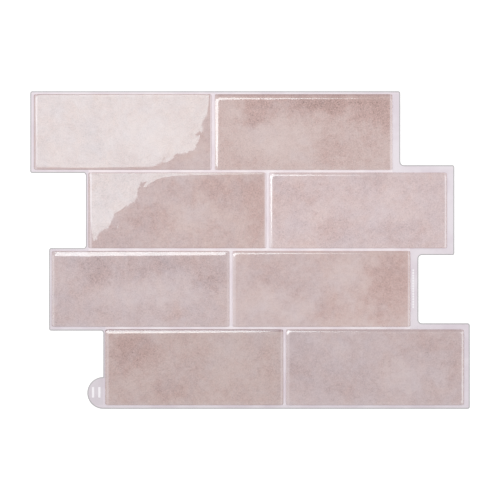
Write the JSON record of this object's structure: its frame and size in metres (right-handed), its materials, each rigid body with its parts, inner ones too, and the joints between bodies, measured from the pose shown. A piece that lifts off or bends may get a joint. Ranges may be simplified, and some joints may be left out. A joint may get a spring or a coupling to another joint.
{
  "type": "self-adhesive backsplash panel",
  "caption": "Peel-and-stick wall panel of glossy raised gel tiles in a staggered bond on a thin printed film, with stepped ends that key into the next panel and a half-round peel tab.",
  "frame": {"origin": "middle of the underside's bounding rectangle, on the back of the release liner", "axes": "+X along the tile rows, towards the ends that lie under the next panel; +Y up the wall; +Z out of the wall, towards the glossy faces"},
  "size_m": [0.2938, 0.2124, 0.0018],
  "materials": {
    "liner": "smooth siliconed kraft paper, off-white",
    "film": "satin printed vinyl, pale greyish pink, lighter at the joints",
    "tile": "glossy gel over a mottled stone-glaze print, warm greyish pink with brown clouds and a fine speckle"
  },
  "bodies": {
    "root": {"release_liner": "liner", "carrier_film": "film", "tile_row1_left": "tile", "tile_row1_right": "tile", "tile_row2_left": "tile", "tile_row2_right": "tile", "tile_row3_left": "tile", "tile_row3_right": "tile", "tile_row4_left": "tile", "tile_row4_right": "tile"}
  },
  "joints": []
}
